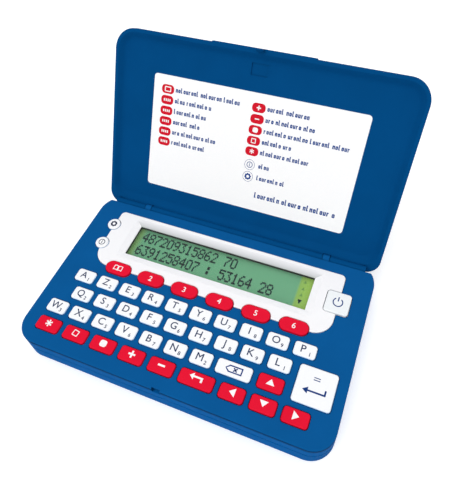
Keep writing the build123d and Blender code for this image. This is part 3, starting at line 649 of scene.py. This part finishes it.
TAG = (3.4, 1.45, 1.5)          # half length, half height and nose of the clear sign
TAG_LINE = 0.5
TAG_CROSS = (0.6, 2.0)          # place along X and length of the strokes inside it
EQUALS = (2.4, 0.34, 0.9)       # length, thickness and spacing of the two bars
EQUALS_Y = 3.0
ENTER_ARROW = (4.3, -1.9, 0.65)  # half length, place along Y and line of the enter sign
ENTER_HEAD = (2.0, 1.3)         # length and half width of its head
ENTER_TAIL = 1.9                # how far it turns up at the other end
POWER_RING = (2.1, 1.65)        # outer and inner radius of the power sign
POWER_Y = 0.1
POWER_ARC = (125.0, 290.0)      # where its open ring starts, and how far round it goes
POWER_BAR = (1.55, 0.45, 2.0)   # place along Y, width and height of its bar


def arc(x, y, radius, start=0.0, sweep=360.0, points=40):
    """Points along a circle, or along part of one from a start angle."""
    turns = [math.radians(start + sweep * step / points) for step in range(points + 1)]
    return [(x + radius * math.cos(turn), y + radius * math.sin(turn)) for turn in turns]


def ring(x, y, outer, inner):
    """A ring about a centre, as outlines."""
    return [arc(x, y, radius)[:-1] for radius in (outer, inner)]


sign_ink = printing_ink("sign_ink", paint(8, 54, 122))
finish(["key_clear", "key_enter"], key_white)
key_frost = moulded_plastic(
    "key_frost", paint(242, 246, 248), 0.42, 0.15, cloud=0.01, texture_depth=KEY_GRAIN, dark=0.85
)
finish(["key_power"], key_frost)

tag_length, tag_half, tag_nose = TAG
tag_outer = [
    (-tag_length, 0),
    (-tag_length + tag_nose, -tag_half),
    (tag_length, -tag_half),
    (tag_length, tag_half),
    (-tag_length + tag_nose, tag_half),
]
tag_inner = [(x * (1 - TAG_LINE / tag_length), y * (1 - TAG_LINE / tag_half)) for x, y in tag_outer]
clear_sign = flat_print("clear_sign", [tag_outer, tag_inner], sign_ink)
strokes = []
cross_x, cross_length = TAG_CROSS
for slant in (45, -45):
    stroke = flat_print("stroke", [box_outline(0, 0, cross_length, TAG_LINE)], sign_ink)
    turn = Matrix.Rotation(math.radians(slant), 4, "Z")
    stroke.data.transform(Matrix.Translation((cross_x * MM, 0, 0)) @ turn)
    strokes.append(stroke)
on_key(join([clear_sign] + strokes, "print_clear"), "key_clear")

enter_half, enter_y, enter_line = ENTER_ARROW
head_length, head_half = ENTER_HEAD
head_end = head_length - enter_half
line_low, line_high = enter_y - enter_line / 2, enter_y + enter_line / 2
enter_arrow = [
    (-enter_half, enter_y),
    (head_end, enter_y - head_half),
    (head_end, line_low),
    (enter_half, line_low),
    (enter_half, enter_y + ENTER_TAIL),
    (enter_half - enter_line, enter_y + ENTER_TAIL),
    (enter_half - enter_line, line_high),
    (head_end, line_high),
    (head_end, enter_y + head_half),
]
bar_length, bar_line, bar_pitch = EQUALS
bar_ys = [EQUALS_Y + side * bar_pitch / 2 for side in (-1, 1)]
enter_marks = [box_outline(0, y, bar_length, bar_line) for y in bar_ys] + [enter_arrow]
on_key(flat_print("print_enter", enter_marks, sign_ink), "key_enter")

outer_arc, inner_arc = [arc(0, POWER_Y, radius, *POWER_ARC) for radius in POWER_RING]
power_marks = [outer_arc + inner_arc[::-1], box_outline(0, *POWER_BAR)]
on_key(flat_print("print_power", power_marks, sign_ink), "key_power")


# ---------------------------------------------------------------- settings and information keys
# Two small round white keys on the bezel's left edge: a gear, and an i in a ring.

GEAR_TEETH = 8
GEAR_RADII = (1.62, 1.36)       # over the teeth and between them
GEAR_HOLE = 0.7
INFO_RING = (1.5, 1.18)
INFO_STEM = (-0.25, 0.32, 1.1)  # place along Y, width and height
INFO_DOT = (0.68, 0.34, 0.34)
finish(["key_settings", "key_info"], key_white)


def gear(x, y, scale=1.0):
    """A toothed wheel with a round hole, as outlines."""
    edge = []
    for step in range(4 * GEAR_TEETH):
        radius = GEAR_RADII[step // 2 % 2] * scale
        turn = 2 * math.pi * (step + 0.5) / (4 * GEAR_TEETH)
        edge.append((x + radius * math.cos(turn), y + radius * math.sin(turn)))
    return [edge, arc(x, y, GEAR_HOLE * scale, points=24)[:-1]]


def information(x, y, scale=1.0):
    """An i in a thin ring, as outlines."""
    marks = ring(x, y, *[radius * scale for radius in INFO_RING])
    for rise, width, height in (INFO_STEM, INFO_DOT):
        marks.append(box_outline(x, y + rise * scale, width * scale, height * scale))
    return marks


gear_ink = printing_ink("gear_ink", paint(2, 20, 60))
on_key(flat_print("print_settings", gear(0, 0), gear_ink), "key_settings")
on_key(flat_print("print_info", information(0, 0), gear_ink), "key_info")


# ---------------------------------------------------------------- red keys
# The front row and the up key, hard red keycaps printed with white signs.

RED_KEYS = ("star", "frame", "dot", "plus", "minus", "back", "left", "down", "right", "up")
SIGN_RISE = 0.4                 # the signs sit this far above the keys' centres
STAR_ARMS = 6
STAR_RADIUS = 1.5
STAR_TIP = 0.22                 # half the width of an arm's end, in radians
STAR_WAIST = 0.3                # how far out the arms part, as a share of the radius
FRAME_SIGN = (2.5, 1.8)         # outer and inner size of the open square
FRAME_CORNERS = (0.3, 0.15)
FRAME_SLANT = -8
DOT_SIGN = (2.9, 2.7, 0.9)      # width, height and corner
PLUS_SIGN = (2.9, 0.75)         # length and thickness of its arms
ARROW = (3.3, 2.3)              # base and height of the arrow signs
key_red = moulded_plastic(
    "key_red", paint(230, 16, 50), 0.36, 0.06, cloud=0.03, texture_depth=KEY_GRAIN, dark=0.6
)
white_ink = printing_ink("white_ink", paint(252, 250, 250))
finish(["key_" + name for name in RED_KEYS], key_red)


def star_outline(radius):
    """A star of blunt arms."""
    edge = []
    for arm in range(STAR_ARMS):
        middle = math.pi / 2 + 2 * math.pi * arm / STAR_ARMS
        gap = math.pi / STAR_ARMS
        for turn, reach in ((-STAR_TIP, 1.0), (STAR_TIP, 1.0), (gap, STAR_WAIST)):
            angle = middle + turn
            edge.append((radius * reach * math.cos(angle), radius * reach * math.sin(angle)))
    return edge


def rounded(width, height, corner, steps=6):
    """A rectangle with round corners about the origin."""
    edge = []
    for quarter, (sx, sy) in enumerate(((1, 1), (-1, 1), (-1, -1), (1, -1))):
        for step in range(steps + 1):
            turn = math.pi / 2 * (quarter + step / steps)
            x = sx * (width / 2 - corner) + corner * math.cos(turn)
            y = sy * (height / 2 - corner) + corner * math.sin(turn)
            edge.append((x, y))
    return edge


def turned(outline, degrees):
    """An outline turned about the origin."""
    c, s = math.cos(math.radians(degrees)), math.sin(math.radians(degrees))
    return [(c * x - s * y, s * x + c * y) for x, y in outline]


def cross(arm, line):
    """An upright cross with equal arms."""
    a, b = arm / 2, line / 2
    quarter = [(b, b), (b, a), (-b, a)]
    return [point for side in range(4) for point in turned(quarter, 90 * side)]


arrow_up = triangle(0, 0, *ARROW)
frame_edges = [rounded(size, size, corner) for size, corner in zip(FRAME_SIGN, FRAME_CORNERS)]
back_sign = [                   # an arrow to the left, its tail turned down
    (-2.9, 0.55),
    (-1.3, -0.75),
    (-1.3, 0.2),
    (1.6, 0.2),
    (1.6, -1.0),
    (2.4, -1.0),
    (2.4, 0.9),
    (-1.3, 0.9),
    (-1.3, 1.85),
]
red_signs = {
    "star": [star_outline(STAR_RADIUS)],
    "frame": [turned(edge, FRAME_SLANT) for edge in frame_edges],
    "dot": [rounded(*DOT_SIGN)],
    "plus": [cross(*PLUS_SIGN)],
    "minus": [box_outline(0, 0, *PLUS_SIGN)],
    "back": [back_sign],
    "left": [turned(arrow_up, 90)],
    "down": [turned(arrow_up, 180)],
    "right": [turned(arrow_up, -90)],
    "up": [arrow_up],
}
for name in RED_KEYS:
    sign = flat_print("print_" + name, red_signs[name], white_ink)
    on_key(sign, "key_" + name, y=SIGN_RISE)


# ---------------------------------------------------------------- menu keys
# Six red pill keys astride the bezel's front edge.  The first has an open book, the
# others a plain figure.

MENU_KEYS = 6
FIGURE_ON_PILL = 2.3            # height of a figure on a pill
BOOK = (2.05, 1.3, 0.32)        # half width, half height and line of the open book
BOOK_SAG = 0.8                  # height of the spine's top and the foot's middle, as a share
BOOK_SIDE = 0.85                # height of the pages' outer corners, as a share
BOOK_FOOT_LINE = 1.4            # the line is thicker in the corners at the foot
finish(["key_menu_" + str(count + 1) for count in range(MENU_KEYS)], key_red)
book_w, book_h, book_line = BOOK
book_sag, book_side, foot_line = book_h * BOOK_SAG, book_h * BOOK_SIDE, BOOK_FOOT_LINE * book_line
page = [
    (0.0, -book_h),
    (book_w / 2, -book_sag),
    (book_w, -book_h),
    (book_w, book_side),
    (book_w / 2, book_h),
    (0.0, book_sag),
]
page_inside = [
    (book_line, -book_h + foot_line),
    (book_w / 2, -book_sag + book_line),
    (book_w - book_line, -book_h + foot_line),
    (book_w - book_line, book_side - book_line),
    (book_w / 2, book_h - book_line),
    (book_line, book_sag - book_line),
]
right_page = flat_print("right_page", [page, page_inside], white_ink)
mirror_page = [[(-x, y) for x, y in edge] for edge in (page, page_inside)]
left_page = flat_print("left_page", mirror_page, white_ink)
on_key(join([right_page, left_page], "print_menu_1"), "key_menu_1")
for count in range(2, MENU_KEYS + 1):
    figure = printed_text("print_menu_" + str(count), str(count), FIGURE_ON_PILL, white_ink)
    on_key(figure, "key_menu_" + str(count))


# ---------------------------------------------------------------- lid
# Shallow tray of the same plastic, painted darker to stand in for the shade on its inner face, with
# its hinge roll, pins and latch tongue moulded on.

lid_shaded_blue = moulded_plastic(
    "lid_shaded_blue", paint(3, 72, 127), roughness=0.45, specular=0.006, dark=0.95
)
finish(["lid_shell"], lid_shaded_blue)


# ---------------------------------------------------------------- lid card
# White laminated card stuck inside the lid.  It lists the red keys and the two round
# keys in two columns, each with a line of print beside it.

CARD_PITCH = 4.55               # between lines on the card
FIRST_LINE = 19.2
LEFT_COLUMN = -39.75
RIGHT_COLUMN = 1.6
TEXT_START = 3.7                # text starts this far right of its pill's centre
PILL = (5.8, 3.75, 1.6)         # width, height and corner
ICON_LINES = (-4.9, -10.2)
LEFT_TEXT = (30.0, 17.4, 16.2, 13.1, 21.3, 17.0)
RIGHT_TEXT = (18.3, 20.8, 36.5, 13.3, 22.8)
ICON_TEXT = (5.3, 13.2)
ICON_TEXT_START = 4.0
FOOT_LINE = (5.9, -18.1, 36.4)  # start, height and length of the line at the foot
FOOT_SCALE = 1.2                # the line at the foot is printed larger
GLYPH_PITCH = 1.22
GLYPH = (1.0, 1.45, 2.15, 0.43)  # width, height, tall height and line of a mark
GLYPH_FOOT = 0.62               # length of the foot of a tall mark
GLYPH_BAR = 0.7                 # length of the bar of a hooked mark
GLYPH_CORNERS = (0.3, 0.1)      # outside and inside a round mark
WORD_GAP = 0.7
WORD_LENGTHS = (9, 4, 8, 6, 3, 8, 7)
CARD_THICKNESS = 0.25
LID_OPEN = math.radians(120)    # the lid is drawn open by this much
PILL_BARS = (-1.35, -0.45, 0.45, 1.35)  # places of the bars that stand for a word on a pill
PILL_BAR = (0.55, 1.1)
WINDOW_SIGN = ((3.0, 2.2, 0.3), (2.2, 1.4, 0.2))  # width, height and corner of each edge
SMALL_PLUS = (1.9, 0.5)
SMALL_DOT = (2.3, 2.1, 0.7)
SMALL_FRAME = ((2.1, 2.1, 0.2), (1.4, 1.4, 0.1))
SMALL_STAR = 1.05
ICON_RING = (2.3, 2.15)
INFO_SCALE = 0.9
GEAR_SCALE = 0.95


def laminated_card():
    """White card under a clear film, with the paper's fibres just in relief."""
    material, shader, tree, link, place = new_material("laminated_card")
    fibres = noise(tree, link, place, scale=1400.0, detail=5.0)
    stops = two_tones(paint(251, 252, 253), paint(254, 254, 254))
    link(ramp(tree, link, fibres, stops), shader.inputs["Base Color"])
    link(spread(tree, link, fibres, low=0.42, high=0.52), shader.inputs["Roughness"])
    shader.inputs["Specular IOR Level"].default_value = 0.2
    grain(tree, link, shader, fibres, depth=4e-6)
    return material


finish(["lid_card"], laminated_card())
card_low, card_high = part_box("lid_card")
card_inward = Vector((0, -math.sin(LID_OPEN), -math.cos(LID_OPEN)))
card_up = Vector((0, -math.cos(LID_OPEN), math.sin(LID_OPEN)))
card_middle = (card_low + card_high) / 2 + card_inward * CARD_THICKNESS / 2 * MM
card_place = Matrix.Translation(card_middle) @ Matrix(
    [[1, card_up.x, card_inward.x], [0, card_up.y, card_inward.y], [0, card_up.z, card_inward.z]]
).to_4x4()


def on_card(piece, layer=0):
    """Lay a print that is drawn about the card's centre on the card, over earlier layers."""
    rise = Matrix.Translation((0, 0, (layer + 0.5) * INK * MM))
    piece.data.transform(card_place @ rise)
    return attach(piece, "lid")


def moved(outline, x, y):
    """An outline moved in its plane."""
    return [(px + x, py + y) for px, py in outline]


def mark_arch(x, y):
    """Two uprights joined at the top."""
    w, h, _, line = GLYPH
    edge = [(0, 0), (line, 0), (line, h - line), (w - line, h - line), (w - line, 0), (w, 0)]
    return [moved(edge + [(w, h), (0, h)], x, y)]


def mark_cup(x, y):
    """Two uprights joined at the foot."""
    return [[(px, 2 * y + GLYPH[1] - py) for px, py in mark_arch(x, y)[0]]]


def mark_ring(x, y):
    """A small closed ring."""
    w, h, _, line = GLYPH
    outer = rounded(w, h, GLYPH_CORNERS[0], steps=2)
    inner = rounded(w - 2 * line, h - 2 * line, GLYPH_CORNERS[1], steps=2)
    return [moved(edge, x + w / 2, y + h / 2) for edge in (outer, inner)]


def mark_post(x, y):
    """A tall upright with a foot."""
    _, _, tall, line = GLYPH
    foot = GLYPH_FOOT
    return [moved([(0, 0), (foot, 0), (foot, line), (line, line), (line, tall), (0, tall)], x, y)]


def mark_hook(x, y):
    """A short upright with a bar at the top."""
    _, h, _, line = GLYPH
    bar = GLYPH_BAR
    return [moved([(0, 0), (line, 0), (line, h - line), (bar, h - line), (bar, h), (0, h)], x, y)]


MARKS = (
    mark_arch,
    mark_ring,
    mark_post,
    mark_ring,
    mark_cup,
    mark_hook,
    mark_ring,
    mark_arch,
    mark_post,
)


def print_line(start, middle, length, first):
    """A line of marks that stands for small print, broken into words."""
    marks = []
    x = start
    count = first
    left_in_word = WORD_LENGTHS[first % len(WORD_LENGTHS)]
    while x + GLYPH[0] <= start + length:
        if left_in_word == 0:
            left_in_word = WORD_LENGTHS[count % len(WORD_LENGTHS)]
            x += WORD_GAP
            continue
        marks += MARKS[count % len(MARKS)](x, middle - GLYPH[1] / 2)
        x += GLYPH_PITCH
        count += 1
        left_in_word -= 1
    return marks


line_ys = [FIRST_LINE - CARD_PITCH * line for line in range(len(LEFT_TEXT))]
pill_places = [(LEFT_COLUMN, y) for y in line_ys] + [(RIGHT_COLUMN, y) for y in line_ys[:-1]]
card_red = printing_ink("card_red", paint(210, 10, 38))
card_blue = printing_ink("card_blue", paint(0, 62, 136))
pills = [moved(rounded(*PILL), x, y) for x, y in pill_places]
on_card(flat_print("card_pills", pills, card_red))

pill_signs = [[rounded(*edge) for edge in WINDOW_SIGN]]
pill_signs += [[box_outline(x, 0, *PILL_BAR) for x in PILL_BARS] for _ in LEFT_TEXT[1:]]
pill_signs += [
    [cross(*SMALL_PLUS)],
    [box_outline(0, 0, *SMALL_PLUS)],
    [rounded(*SMALL_DOT)],
    [rounded(*edge) for edge in SMALL_FRAME],
    [star_outline(SMALL_STAR)],
]
small_signs = [moved(edge, x, y) for sign, (x, y) in zip(pill_signs, pill_places) for edge in sign]
on_card(flat_print("card_pill_signs", small_signs, white_ink), layer=1)

small_print = []
for line, (y, length) in enumerate(zip(line_ys, LEFT_TEXT)):
    small_print += print_line(LEFT_COLUMN + TEXT_START, y, length, line)
for line, (y, length) in enumerate(zip(line_ys, RIGHT_TEXT)):
    small_print += print_line(RIGHT_COLUMN + TEXT_START, y, length, line + 3)
for line, (y, length) in enumerate(zip(ICON_LINES, ICON_TEXT)):
    small_print += print_line(RIGHT_COLUMN + ICON_TEXT_START, y, length, line + 1)
foot_start, foot_y, foot_length = FOOT_LINE
for mark in print_line(0, 0, foot_length / FOOT_SCALE, 2):
    small_print.append([(foot_start + FOOT_SCALE * x, foot_y + FOOT_SCALE * y) for x, y in mark])
on_card(flat_print("card_small_print", small_print, card_blue))

icon_marks = []
for y in ICON_LINES:
    icon_marks += ring(RIGHT_COLUMN, y, *ICON_RING)
icon_marks += information(RIGHT_COLUMN, ICON_LINES[0], INFO_SCALE)
icon_marks += gear(RIGHT_COLUMN, ICON_LINES[1], GEAR_SCALE)
on_card(flat_print("card_icons", icon_marks, card_blue))


# ---------------------------------------------------------------- screws
# Pan head screws with cross recesses, zinc plated steel.

screw_steel = plated_steel("screw_steel", paint(176, 178, 182), roughness=0.3, scratches=3000.0)
finish(["case_screws"], screw_steel)


# ---------------------------------------------------------------- floor, light and camera
# A white studio floor under even, soft light, seen from above the front right corner.

FLOOR_SIZE = 6.0
CAMERA_AT = (0.05377, -0.0798, 0.18366)
CAMERA_TURN = (36.05, 3.0, 21.58)
CAMERA_LENS = 35.34
FLOOR_LIFT = 0.32               # the floor glows by this much for the camera alone
SKY_ON_OBJECT = 0.62            # strength of the sky's light on the part
LAMPS = (
    # name, strength, softness in degrees, direction that it shines from
    ("front_lamp", 1.08, 60.0, (-0.25, -0.75, 0.85)),
    ("top_lamp", 0.52, 70.0, (0.2, 0.3, 1.0)),
)

bpy.ops.mesh.primitive_plane_add(size=FLOOR_SIZE)
floor = bpy.context.object
floor.name = "floor"
floor_white, floor_shader, floor_tree, floor_link, floor_place = new_material("floor_white")
floor_shader.inputs["Roughness"].default_value = 0.9
floor_shader.inputs["Specular IOR Level"].default_value = 0.0
floor_noise = noise(floor_tree, floor_link, floor_place, scale=3.0)
floor_tones = two_tones(paint(247, 247, 247), paint(249, 249, 249))
floor_link(ramp(floor_tree, floor_link, floor_noise, floor_tones), floor_shader.inputs["Base Color"])
floor_rays = floor_tree.new("ShaderNodeLightPath")
floor_lift = floor_tree.new("ShaderNodeMath")
floor_lift.operation = "MULTIPLY"
floor_lift.inputs[1].default_value = FLOOR_LIFT
floor_link(floor_rays.outputs["Is Camera Ray"], floor_lift.inputs[0])
floor_shader.inputs["Emission Color"].default_value = (1, 1, 1, 1)
floor_link(floor_lift.outputs["Value"], floor_shader.inputs["Emission Strength"])
floor.data.materials.append(floor_white)

world = bpy.data.worlds.new("studio")
world.use_nodes = True
bpy.context.scene.world = world
sky = world.node_tree.nodes["Background"]
sky.inputs["Color"].default_value = (1, 1, 1, 1)
rays = world.node_tree.nodes.new("ShaderNodeLightPath")
seen = rays.outputs["Is Camera Ray"]
for kind in ("Is Glossy Ray", "Is Transmission Ray"):
    either = world.node_tree.nodes.new("ShaderNodeMath")
    either.operation = "MAXIMUM"
    world.node_tree.links.new(seen, either.inputs[0])
    world.node_tree.links.new(rays.outputs[kind], either.inputs[1])
    seen = either.outputs["Value"]
strength = world.node_tree.nodes.new("ShaderNodeMapRange")
strength.inputs["To Min"].default_value = SKY_ON_OBJECT
strength.inputs["To Max"].default_value = 1.0
world.node_tree.links.new(seen, strength.inputs["Value"])
world.node_tree.links.new(strength.outputs["Result"], sky.inputs["Strength"])

for name, power, softness, source in LAMPS:
    lamp = bpy.data.lights.new(name, "SUN")
    lamp.energy = power
    lamp.angle = math.radians(softness)
    lamp_object = bpy.data.objects.new(name, lamp)
    lamp_object.rotation_euler = Vector(source).to_track_quat("Z", "Y").to_euler()
    bpy.context.collection.objects.link(lamp_object)

lens = bpy.data.cameras.new("camera")
lens.lens = CAMERA_LENS
lens.clip_start = 0.01
camera = bpy.data.objects.new("camera", lens)
camera.location = CAMERA_AT
camera.rotation_euler = [math.radians(turn) for turn in CAMERA_TURN]
bpy.context.collection.objects.link(camera)
bpy.context.scene.camera = camera

bpy.context.scene.view_settings.view_transform = "Standard"
